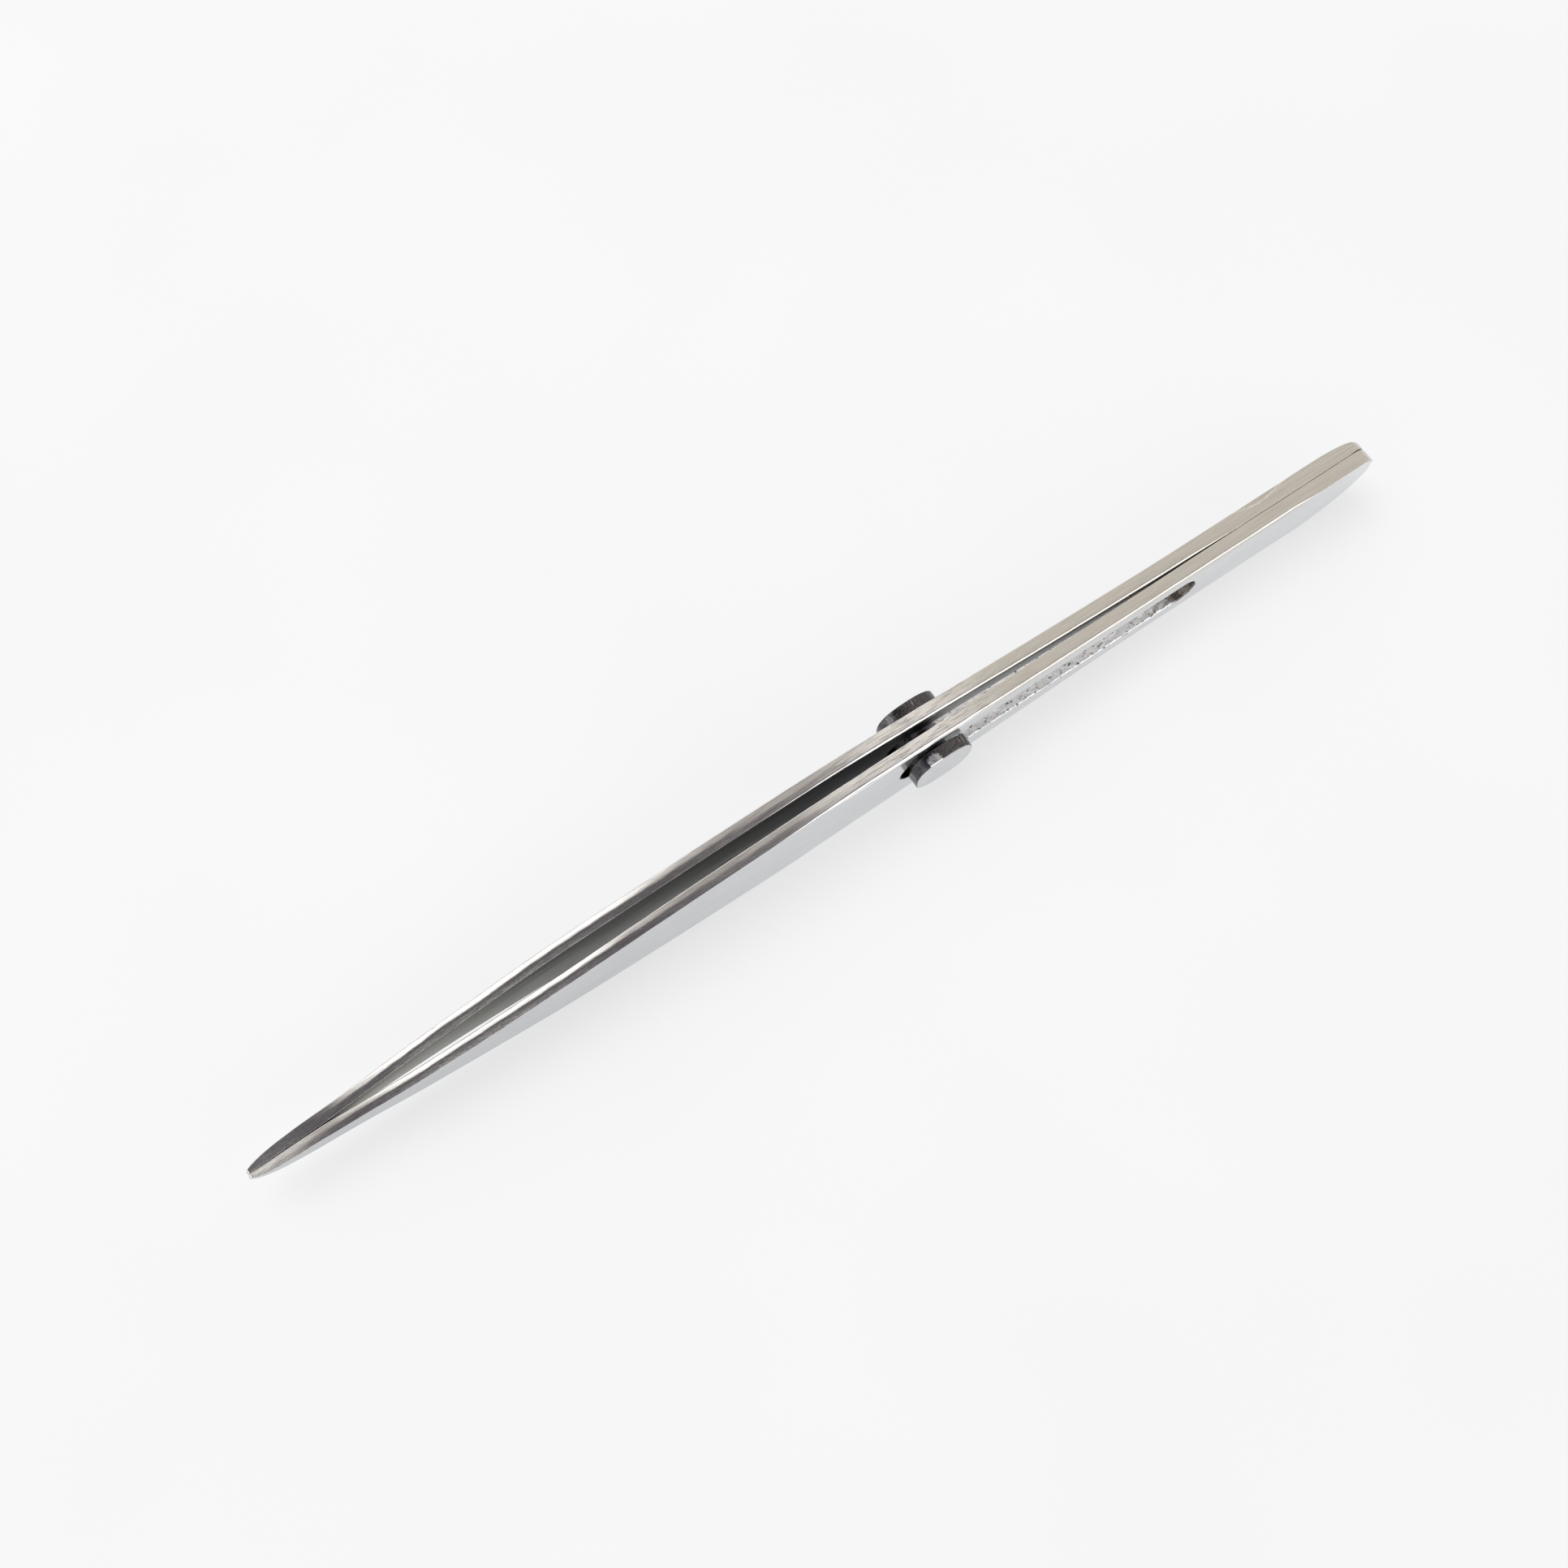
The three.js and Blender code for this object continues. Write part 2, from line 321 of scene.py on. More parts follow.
class MeshData:
    """Vertices, their wanted normals and faces, gathered before they become a mesh."""

    def __init__(self):
        self.points = []
        self.normals = []
        self.faces = []
        self.face_materials = []

    def add(self, point, normal):
        self.points.append(tuple(point))
        self.normals.append(tuple(normal))
        return len(self.points) - 1

    def add_grid(self, points, normals):
        """A grid of vertices. Returns the grid of their numbers."""
        rows, columns = points.shape[:2]
        return np.array([
            [self.add(points[i, j], normals[i, j]) for j in range(columns)] for i in range(rows)
        ])

    def face(self, corners, material):
        """A face, unless so many of its corners are the same that it has no area."""
        distinct = list(dict.fromkeys(int(c) for c in corners))
        if len(distinct) > 2:
            self.faces.append(distinct)
            self.face_materials.append(material)

    def quads(self, grid, material, closed=False):
        """Faces between neighbouring rows and columns of a grid of vertex numbers."""
        rows = len(grid)
        for i in range(rows if closed else rows - 1):
            this, following = grid[i], grid[(i + 1) % rows]
            for j in range(len(this) - 1):
                self.face((this[j], following[j], following[j + 1], this[j + 1]), material)

    def build(self, name, materials):
        """A new object. A vertex whose wanted normal is zero keeps its smooth one."""
        mesh = bpy.data.meshes.new(name)
        mesh.from_pydata([Vector(p) * MM for p in self.points], [], self.faces)
        for material in materials:
            mesh.materials.append(material)
        mesh.polygons.foreach_set("material_index", self.face_materials)
        shape = bmesh.new()
        shape.from_mesh(mesh)
        bmesh.ops.recalc_face_normals(shape, faces=shape.faces)
        shape.to_mesh(mesh)
        shape.free()
        mesh.polygons.foreach_set("use_smooth", [True] * len(mesh.polygons))
        mesh.normals_split_custom_set_from_vertices(self.normals)
        piece = bpy.data.objects.new(name, mesh)
        bpy.context.scene.collection.objects.link(piece)
        return piece


def edge_relief(across, thickness, roof, ridge, lean, dent):
    """How deep an edge's ground surface lies at places across it, and how far it tilts outward.

    It falls to both sides of a soft ridge by the slope `roof`, leans toward the inner face by the
    slope `lean`, and has a shallow dent, `dent` wide, at its outer side.
    """
    off_ridge = across - thickness * ridge
    softness = RIDGE_SOFTNESS * thickness
    reach = np.sqrt(off_ridge**2 + softness**2)
    into_dent = across - (thickness - dent)
    on_wall = (into_dent > 0) & (into_dent <= DENT_WALL)
    on_floor = into_dent > DENT_WALL
    wall_slope = DENT_DEPTH / DENT_WALL
    depth = roof * (reach - softness) + lean * (thickness - across)
    depth = depth + wall_slope * np.clip(into_dent, 0, DENT_WALL)
    depth = depth - DENT_RISE * np.maximum(into_dent - DENT_WALL, 0)
    tilt = roof * off_ridge / reach - lean + wall_slope * on_wall - DENT_RISE * on_floor
    return depth, tilt


def edge_section(thickness, inner_radius, outer_radius, roof=0.0, ridge=0.5, lean=0.0, dent=0.0):
    """Points across an edge, from the inner face to the outer, for each point of an outline.

    Returns how deep each lies under the outline, its share of the thickness, and its normal's
    parts along the outline's normal and across the arm. The edge is rounded into the faces by two
    fillets, and is ground as edge_relief says.
    """
    thickness, inner_radius, outer_radius, roof, ridge, lean, dent = (
        np.broadcast_to(value, np.shape(thickness))[:, None]
        for value in (thickness, inner_radius, outer_radius, roof, ridge, lean, dent)
    )
    rows = len(thickness)
    turn = np.radians(np.linspace(0, 90, FILLET_STEPS + 1))[None, :].repeat(rows, axis=0)
    back = turn[:, ::-1]
    between = np.linspace(0, 1, CROWN_STEPS + 1)[None, 1:-1]
    middle = inner_radius + (thickness - inner_radius - outer_radius) * between
    across = np.hstack([
        inner_radius * (1 - np.cos(turn)),
        middle,
        thickness - outer_radius * (1 - np.cos(back)),
    ])
    flat = np.zeros_like(middle)
    depth = np.hstack([inner_radius * (1 - np.sin(turn)), flat, outer_radius * (1 - np.sin(back))])
    outward = np.hstack([np.sin(turn), flat + 1, np.sin(back)])
    sideways = np.hstack([-np.cos(turn), flat, np.cos(back)])

    relief, tilt = edge_relief(across, thickness, roof, ridge, lean, dent)
    return depth + relief, across / thickness, outward, sideways + outward * tilt


def arm_thickness(side, stations):
    """How thick an arm is at each station."""
    return OUTER_FACE[side].value(stations) - INNER_FACE.value(stations)


def on_arm(side, stations, heights, share):
    """Places in an arm: share is 0 on its inner face and 1 on its outer face."""
    inner, outer = INNER_FACE.value(stations), OUTER_FACE[side].value(stations)
    across = side * (inner + share * (outer - inner))
    return np.stack([stations + TIP_X, across, heights], axis=-1)


def face_normals(side, stations, outer):
    """Normals of an arm's inner or outer wide face."""
    stations = np.asarray(stations, float)
    flat = np.zeros_like(stations)
    if outer:
        normals = np.stack([-OUTER_FACE[side].slope(stations), flat + side, flat], axis=-1)
    else:
        normals = np.stack([INNER_FACE.slope(stations), flat - side, flat], axis=-1)
    return normals / np.linalg.norm(normals, axis=-1)[..., None]


def edge_sweep(side, outline, normals, section):
    """The grid of points and normals of an edge that follows an outline round an arm."""
    depth, share, outward, sideways = section
    stations = outline[:, :1] - depth * normals[:, :1]
    heights = outline[:, 1:] - depth * normals[:, 1:]
    points = on_arm(side, stations, heights, share)
    along_outline = np.stack([
        np.broadcast_to(normals[:, :1], depth.shape),
        np.zeros_like(depth),
        np.broadcast_to(normals[:, 1:], depth.shape),
    ], axis=-1)
    to_face = np.where(
        (sideways > 0)[..., None],
        face_normals(side, stations, True),
        face_normals(side, stations, False),
    )
    total = outward[..., None] * along_outline + np.abs(sideways)[..., None] * to_face
    return points, total / np.linalg.norm(total, axis=-1)[..., None]


def slot_middle(stations):
    """Height of the slot's middle line."""
    radius = SLOT_HEIGHT / 2
    centres = (SLOT_FRONT + radius, SLOT_REAR - radius)
    slope = (SLOT_REAR_Z - SLOT_FRONT_Z) / (centres[1] - centres[0])
    return SLOT_FRONT_Z + slope * (np.asarray(stations) - centres[0])


def slot_columns():
    """Stations of the columns along the slot and half its height at each."""
    radius = SLOT_HEIGHT / 2
    turn = np.linspace(0, math.pi / 2, SLOT_END_COLUMNS + 1)
    front = SLOT_FRONT + radius * (1 - np.cos(turn))
    rear = SLOT_REAR - radius * (1 - np.cos(turn))
    count = round((rear[-1] - front[-1]) / SLOT_COLUMN_STEP)
    middle = np.linspace(front[-1], rear[-1], count + 1)[1:-1]
    stations = np.concatenate([front, middle, rear[::-1]])
    to_end = np.clip(np.minimum(stations - SLOT_FRONT, SLOT_REAR - stations), 0, radius)
    halves = np.sqrt(np.maximum(radius**2 - (radius - to_end) ** 2, 0))
    return stations, halves


def column_stations(slot_stations):
    """Stations of the mesh's columns between the round tip and the rear stretch."""
    share = np.linspace(0, 1, TAPER_COLUMNS) ** TAPER_CROWDING
    taper = TIP_RADIUS + (SLOT_FRONT - SLOT_MARGIN - TIP_RADIUS) * share
    behind = np.linspace(SLOT_REAR + SLOT_MARGIN, REAR_EDGE_STATION, FALL_COLUMNS)
    return np.concatenate([taper, slot_stations, behind])


def column_chains(stations):
    """Where the columns meet the upper and lower edges, with the edges' normals there."""
    chains = []
    quarter = math.pi / 2 * TIP_RADIUS
    for chain in (upper_chain(), lower_chain()):
        tip_runs = np.linspace(0, quarter, TIP_COLUMNS + 1)[:-1]
        rear_run = chain.run_at(REAR_EDGE_STATION)
        rear_runs = np.linspace(rear_run, chain.run[-1], REAR_COLUMNS)[1:]
        runs = np.concatenate([tip_runs, chain.run_at(stations), rear_runs])
        chains.append(chain.at_run(runs))
    return chains


def slot_outline(stations, halves, upward):
    """The slot's lower or upper wall, with normals that point into the slot."""
    radius = SLOT_HEIGHT / 2
    heights = slot_middle(stations) + upward * halves
    pull = np.clip(SLOT_FRONT + radius - stations, 0, radius)
    push = np.clip(stations - SLOT_REAR + radius, 0, radius)
    normals = np.column_stack([(pull - push) / radius, -upward * halves / radius])
    return np.column_stack([stations, heights]), normals


def rough(stations, seed, grain):
    """Repeatable noise from -1 to 1 along the arm."""
    return np.array([noise.noise(Vector((s / grain, seed, 0.5))) for s in stations])


def slot_wall(side, stations, halves, upward):
    """Points and normals of one wall of the slot: stamped rough, with a ragged outer edge below."""
    outline, normals = slot_outline(stations, halves, upward)
    seed = 10 * side + upward
    ragged = np.abs(rough(stations, seed, 0.3)) + 0.6 * np.abs(rough(stations, seed + 3, 1.1))
    outer_radius = SLOT_OUTER_FILLET + SLOT_RAGGED[upward] * ragged
    section = edge_section(arm_thickness(side, stations), SLOT_INNER_FILLET, outer_radius)
    points, wanted = edge_sweep(side, outline, normals, section)
    for i in range(1, len(stations) - 1):
        for j in range(1, points.shape[1] - 1):
            place = Vector(points[i, j]) * PITS_PER_MM
            lift = PIT_DEPTH * noise.noise(place)
            lift += FINE_PIT_DEPTH * noise.noise(place * FINE_PITS_PER_PIT)
            points[i, j, 0] -= lift * normals[i, 0]
            points[i, j, 2] -= lift * normals[i, 1]
            wanted[i, j] = 0
    return points, wanted


def between(start, end, rows):
    """Points from start to end, both left out."""
    t = np.linspace(0, 1, rows + 1)[1:-1, None]
    return start + (end - start) * t


def face_middle(station):
    """Height of the line that parts a wide face into its lower and upper halves."""
    knots = [
        (0, TIP_HEIGHT),
        (PEAK_STATION, PEAK_HEIGHT / 2),
        (SLOT_FRONT, slot_middle(SLOT_FRONT)),
        (SLOT_REAR, slot_middle(SLOT_REAR)),
        (REAR_EDGE_STATION, REAR_HEIGHT / 2),
        REAR_MEETING,
    ]
    return values_at(knots, station)


def fill_face(data, side, outer, tops, bottoms, slot_low, slot_high, slot_from):
    """A wide face: columns of vertices from the lower edge to the upper, parted by the slot."""
    share = 1.0 if outer else 0.0

    def flat_place(vertex):
        x, _, z = data.points[vertex]
        return np.array([x - TIP_X, z])

    def add_flat(place):
        point = on_arm(side, place[0], place[1], share)
        return data.add(point, face_normals(side, place[0], outer))

    low_columns, high_columns = [], []
    for i, (top, bottom) in enumerate(zip(tops, bottoms)):
        if top == bottom:
            low_columns.append([bottom] * (FACE_ROWS + 1))
            high_columns.append([top] * (FACE_ROWS + 1))
            continue
        top_place, bottom_place = flat_place(top), flat_place(bottom)
        in_slot = slot_from <= i < slot_from + len(slot_low)
        if in_slot:
            below, above = slot_low[i - slot_from], slot_high[i - slot_from]
        else:
            height = face_middle((top_place[0] + bottom_place[0]) / 2)
            rise = (height - bottom_place[1]) / (top_place[1] - bottom_place[1])
            rise = np.clip(rise, *MIDDLE_RISE)
            below = add_flat(bottom_place + rise * (top_place - bottom_place))
            above = below
        low_inner = [add_flat(p) for p in between(bottom_place, flat_place(below), FACE_ROWS)]
        high_inner = [add_flat(p) for p in between(flat_place(above), top_place, FACE_ROWS)]
        low_columns.append([bottom, *low_inner, below])
        high_columns.append([above, *high_inner, top])
    finish = POLISHED if outer else ROLLED
    data.quads(low_columns, finish)
    data.quads(high_columns, finish)


def arm_piece(side, name, materials):
    """One arm, as a closed shell: an edge all round, a wall round the slot and two wide faces."""
    data = MeshData()
    slot_stations, halves = slot_columns()
    stations = column_stations(slot_stations)
    (top, top_normals), (low, low_normals) = column_chains(stations)
    outline = np.vstack([top, low[-2:0:-1]])
    normals = np.vstack([top_normals, low_normals[-2:0:-1]])
    normals /= np.linalg.norm(normals, axis=1)[:, None]

    thickness = arm_thickness(side, outline[:, 0])
    section = edge_section(thickness, **edge_shape(side, outline[:, 0], thickness))
    rim = data.add_grid(*edge_sweep(side, outline, normals, section))
    data.quads(rim, GROUND, closed=True)

    walls = []
    for upward in (LOWER, UPPER):
        grid = data.add_grid(*slot_wall(side, slot_stations, halves, upward))
        if walls:
            # the two walls share their vertices at the slot's ends
            grid[0], grid[-1] = walls[0][0], walls[0][-1]
        data.quads(grid, STAMPED)
        walls.append(grid)

    # the rim runs along the top from the tip to the rear end, and back along the bottom
    count = len(top)
    tops = np.arange(count)
    bottoms = np.where((tops == 0) | (tops == count - 1), tops, 2 * count - 2 - tops)
    slot_from = int(np.argmin(np.abs(top[:, 0] - slot_stations[0])))
    for outer, edge in ((False, 0), (True, -1)):
        fill_face(data, side, outer, rim[tops, edge], rim[bottoms, edge],
                  walls[0][:, edge], walls[1][:, edge], slot_from)
    return data.build(name, materials)


def edge_fillets(side, stations, thickness):
    """The radii of an edge's inner and outer fillets at each station."""
    behind_peak = ease(stations, PEAK_STATION - 8, PEAK_STATION + 8)
    welded = ease(stations, WELD_FRONT - 8, WELD_FRONT + 2)
    rear_end = ease(stations, LENGTH - 14, LENGTH - 9)
    facing_near = THINNEST_FILLET + NEAR_FILLET_GROWTH * behind_peak
    facing_far = FAR_FILLET + FAR_FILLET_GROWTH * bump_between(stations, 6, 14, 60, 90)
    if side == NEAR:
        inner_radius = facing_far
        outer_radius = facing_near * (1 - rear_end) + REAR_END_FILLET * rear_end
    else:
        inner_radius = facing_near
        outer_radius = facing_far
    inner_radius = inner_radius * (1 - welded) + SEAM_FILLET * welded
    limit = np.maximum(FILLET_SHARE * thickness, THINNEST_FILLET)
    return np.minimum(inner_radius, limit), np.minimum(outer_radius, limit)


def edge_shape(side, stations, thickness):
    """An arm's ground edge, as edge_section's values at each station."""
    inner_radius, outer_radius = edge_fillets(side, stations, thickness)
    steep_end = STEEP_END[side]
    on_taper = bump_between(stations, ROOF_START, ROOF_FULL, 74, 86)
    on_front = bump_between(stations, ROOF_START, ROOF_FULL, steep_end, steep_end + STEEP_FADE)
    roof = ROOF + TAPER_ROOF * on_taper + STEEP_ROOF * on_front
    ridge = 0.5 + 0.08 * rough(stations, 5 * side, 6) + 0.04 * rough(stations, 7 * side, 1.7)
    lean = TIP_LEAN[side] * (1 - ease(stations, 5, 16))
    dent = 0.0
    if side == FAR:
        pressed = bump_between(stations, DENT_FRONT, DENT_MIDDLE, DENT_MIDDLE, DENT_REAR)
        dent = DENT_WIDTH * pressed
    return {
        "inner_radius": inner_radius,
        "outer_radius": outer_radius,
        "roof": roof,
        "ridge": ridge,
        "lean": lean,
        "dent": dent,
    }


# ---------------------------------------------------------------- slider meshes

BUTTON_FACE, BUTTON_RIM = range(2)

OVAL_STEPS = 128
BACK_RINGS, FACE_RINGS = 8, 12
RIM_RINGS = 5
BACK_ROUND, FRONT_ROUND, DOME = 0.1, 0.14, 0.05
CAP_CENTRE = 0.05

PIN_STEPS = 64
PIN_CLEARANCE, PIN_ROUND, PIN_END_RADIUS = 0.02, 0.2, 0.3
GROOVES = (-0.5, 0.5)
GROOVE_DEPTH, GROOVE_FLOOR_HALF, GROOVE_HALF = 0.07, 0.08, 0.16


def oval_ring(inset, outward, sideways, side, offset):
    """A ring of a button: points and normals on an oval drawn in by `inset`."""
    angles = np.linspace(0, 2 * math.pi, OVAL_STEPS, endpoint=False)
    power = 2 / BUTTON_SQUARENESS
    along = np.sign(np.cos(angles)) * np.abs(np.cos(angles)) ** power
    up = np.sign(np.sin(angles)) * np.abs(np.sin(angles)) ** power
    half_length = BUTTON_LENGTH / 2
    half_height = BUTTON_HEIGHT / 2
    points = np.column_stack([
        SLIDER_X + along * (half_length - inset),
        np.full(OVAL_STEPS, side * offset),
        SLIDER_Z + up * (half_height - inset),
    ])
    normal = np.column_stack([
        np.sign(along) * np.abs(np.cos(angles)) ** (2 - power) / half_length,
        np.zeros(OVAL_STEPS),
        np.sign(up) * np.abs(np.sin(angles)) ** (2 - power) / half_height,
    ])
    normal /= np.linalg.norm(normal, axis=1)[:, None]
    normals = outward * normal + np.array([0, side * sideways, 0])
    return points, normals


def button_rings():
    """A button's rings, from its back to its face: inset, normal's parts, offset and material."""
    inner = BUTTON_INNER_FACE
    outer = inner + BUTTON_THICKNESS
    body_end = outer - DOME - FRONT_ROUND
    widest = BUTTON_HEIGHT / 2
    rings = []
    for inset in np.linspace(widest - CAP_CENTRE, BACK_ROUND, BACK_RINGS):
        rings.append((inset, 0, -1, inner, BUTTON_FACE))
    for turn in np.radians([30, 60, 90]):
        inset = BACK_ROUND * (1 - math.sin(turn))
        offset = inner + BACK_ROUND * (1 - math.cos(turn))
        rings.append((inset, math.sin(turn), -math.cos(turn), offset, BUTTON_RIM))
    for offset in np.linspace(inner + BACK_ROUND, body_end, RIM_RINGS)[1:]:
        rings.append((0, 1, 0, offset, BUTTON_RIM))
    for turn in np.radians([15, 30, 45, 60, 75, 90]):
        inset = FRONT_ROUND * (1 - math.cos(turn))
        offset = body_end + FRONT_ROUND * math.sin(turn)
        rings.append((inset, math.cos(turn), math.sin(turn), offset, BUTTON_RIM))
    for inset in np.linspace(FRONT_ROUND, widest - CAP_CENTRE, FACE_RINGS)[1:]:
        reach = (inset - FRONT_ROUND) / (widest - FRONT_ROUND)
        lean = 2 * DOME * (1 - reach) / (widest - FRONT_ROUND)
        rings.append((inset, lean, 1, outer - DOME * (1 - reach) ** 2, BUTTON_FACE))
    return rings


def join_rings(data, rings, materials):
    """Faces between closed rings of vertex numbers, one material for each pair of rings."""
    for first, second, material in zip(rings, rings[1:], materials):
        data.quads([first + first[:1], second + second[:1]], material)


def button_piece(side, name, materials):
    """A thick oval button with a rounded outer edge and a slightly domed face."""
    data = MeshData()
    grid = []
    ring_materials = []
    for inset, outward, sideways, offset, material in button_rings():
        points, normals = oval_ring(inset, outward, sideways, side, offset)
        grid.append([data.add(p, n) for p, n in zip(points, normals)])
        ring_materials.append(material)
    join_rings(data, grid, ring_materials[1:])
    data.face(grid[0], BUTTON_FACE)
    data.face(grid[-1], BUTTON_FACE)
    return data.build(name, materials)


def pin_profile():
    """The pin's outline, from its near end to its far one, as (Y, radius) pairs."""
    reach = BUTTON_INNER_FACE - PIN_CLEARANCE
    near_end = [(-reach, PIN_END_RADIUS), (-reach, PIN_RADIUS - PIN_ROUND)]
    for turn in np.radians([30, 60, 90]):
        y = -reach + PIN_ROUND * (1 - math.cos(turn))
        near_end.append((y, PIN_RADIUS - PIN_ROUND * (1 - math.sin(turn))))
    middle = []
    for groove in GROOVES:
        middle += [
            (groove - GROOVE_HALF, PIN_RADIUS),
            (groove - GROOVE_FLOOR_HALF, PIN_RADIUS - GROOVE_DEPTH),
            (groove + GROOVE_FLOOR_HALF, PIN_RADIUS - GROOVE_DEPTH),
            (groove + GROOVE_HALF, PIN_RADIUS),
        ]
    far_end = [(-y, radius) for y, radius in reversed(near_end)]
    return near_end + middle + far_end


def pin_piece(name, materials):
    """The cross pin: a turned bar with rounded ends and two shallow grooves."""
    smooth = (0, 0, 0)
    angles = np.linspace(0, 2 * math.pi, PIN_STEPS, endpoint=False)
    data = MeshData()
    rings = []
    for y, radius in pin_profile():
        xs = SLIDER_X + radius * np.cos(angles)
        zs = SLIDER_Z + radius * np.sin(angles)
        rings.append([data.add((x, y, z), smooth) for x, z in zip(xs, zs)])
    join_rings(data, rings, [0] * (len(rings) - 1))
    data.face(rings[0], 0)
    data.face(rings[-1], 0)
    return data.build(name, materials)


# ---------------------------------------------------------------- materials

# places of a colour Mix node's sockets, whose names are shared with its other kinds
MIX_SHARE, MIX_FIRST, MIX_SECOND, MIX_COLOUR = 0, 6, 7, 2


class Nodes:
    """A short way to build a node tree."""

    def __init__(self, tree):
        self.tree = tree
        tree.nodes.clear()

    def add(self, kind, **settings):
        node = self.tree.nodes.new(kind)
        for name, value in settings.items():
            setattr(node, name, value)
        return node

    def link(self, source, target):
        self.tree.links.new(source, target)

    def noise(self, along, across, detail=3.0, roughness=0.55):
        """Noise with grains of the given sizes in millimetres, along X and across it."""
        place = self.add("ShaderNodeTexCoord")
        scale = self.add("ShaderNodeMapping")
        scale.inputs["Scale"].default_value = (1 / along / MM, 1 / across / MM, 1 / across / MM)
        texture = self.add("ShaderNodeTexNoise")
        texture.inputs["Scale"].default_value = 1
        texture.inputs["Detail"].default_value = detail
        texture.inputs["Roughness"].default_value = roughness
        self.link(place.outputs["Object"], scale.inputs["Vector"])
        self.link(scale.outputs["Vector"], texture.inputs["Vector"])
        return texture.outputs["Fac"]

    def ramp(self, source, stops):
        """Colours or greys between (position, colour) stops."""
        node = self.add("ShaderNodeValToRGB")
        elements = node.color_ramp.elements
        while len(elements) < len(stops):
            elements.new(0.5)
        for element, (position, colour) in zip(elements, stops):
            element.position = position
            element.color = (*colour, 1) if isinstance(colour, tuple) else (colour,) * 3 + (1,)
        self.link(source, node.inputs["Fac"])
        return node.outputs["Color"]

    def mix(self, share, first, second):
        """A blend of two colours, each linked from a node or, if it is a tuple, fixed."""
        node = self.add("ShaderNodeMix", data_type="RGBA")
        self.link(share, node.inputs[MIX_SHARE])
        for socket, source in ((MIX_FIRST, first), (MIX_SECOND, second)):
            if isinstance(source, tuple):
                node.inputs[socket].default_value = (*source, 1)
            else:
                self.link(source, node.inputs[socket])
        return node.outputs[MIX_COLOUR]

    def along(self, start, end, skew=0.0):
        """0 before one station and 1 after another, both later by `skew` for each mm of Y."""
        place = self.add("ShaderNodeTexCoord")
        station = self.add("ShaderNodeVectorMath", operation="DOT_PRODUCT")
        station.inputs[1].default_value = (1, -skew, 0)
        spread = self.add("ShaderNodeMapRange")
        spread.inputs["From Min"].default_value = (start + TIP_X) * MM
        spread.inputs["From Max"].default_value = (end + TIP_X) * MM
        self.link(place.outputs["Object"], station.inputs[0])
        self.link(station.outputs["Value"], spread.inputs["Value"])
        return spread.outputs["Result"]

    def near_place(self, place, full, none):
        """1 within one distance of a place in millimetres and 0 beyond another."""
        here = self.add("ShaderNodeTexCoord")
        away = self.add("ShaderNodeVectorMath", operation="DISTANCE")
        away.inputs[1].default_value = Vector(place) * MM
        spread = self.add("ShaderNodeMapRange")
        spread.inputs["From Min"].default_value = none * MM
        spread.inputs["From Max"].default_value = full * MM
        self.link(here.outputs["Object"], away.inputs[0])
        self.link(away.outputs["Value"], spread.inputs["Value"])
        return spread.outputs["Result"]

    def minus(self, first, second):
        """One value less another."""
        node = self.add("ShaderNodeMath", operation="SUBTRACT")
        self.link(first, node.inputs[0])
        self.link(second, node.inputs[1])
        return node.outputs[0]

    def bump(self, source, height, before=None):
        """A bump of a height in millimetres, on top of the one before it if there is one."""
        node = self.add("ShaderNodeBump")
        node.inputs["Strength"].default_value = 1
        node.inputs["Distance"].default_value = height * MM
        self.link(source, node.inputs["Height"])
        if before is not None:
            self.link(before, node.inputs["Normal"])
        return node.outputs["Normal"]


def metal(name):
    """A new metal: its nodes and its shader, ready to be linked."""
    material = bpy.data.materials.new(name)
    material.use_nodes = True
    nodes = Nodes(material.node_tree)
    shader = nodes.add("ShaderNodeBsdfPrincipled")
    shader.inputs["Metallic"].default_value = 1
    output = nodes.add("ShaderNodeOutputMaterial")
    nodes.link(shader.outputs["BSDF"], output.inputs["Surface"])
    return material, nodes, shader


def polished_steel():
    """The wide faces: polished, with faint lengthwise hairlines, and darker toward the tips."""
    material, nodes, shader = metal("polished_steel")
    clouds = nodes.noise(9, 3)
    hairlines = nodes.noise(14, 0.09, 4, 0.7)
    front = nodes.ramp(clouds, [(0.3, (0.5, 0.512, 0.53)), (0.7, (0.55, 0.56, 0.575))])
    middle = nodes.ramp(clouds, [(0.3, (0.63, 0.645, 0.66)), (0.7, (0.68, 0.69, 0.7))])
    rear = nodes.ramp(clouds, [(0.3, (0.69, 0.705, 0.72)), (0.7, (0.74, 0.75, 0.76))])
    tone = nodes.mix(nodes.along(10, PEAK_STATION), front, middle)
    tone = nodes.mix(nodes.along(100, REAR_EDGE_STATION), tone, rear)
    nodes.link(tone, shader.inputs["Base Color"])
    nodes.link(nodes.ramp(hairlines, [(0.35, 0.17), (0.7, 0.27)]), shader.inputs["Roughness"])
    nodes.link(nodes.bump(hairlines, 0.0012), shader.inputs["Normal"])
    return material


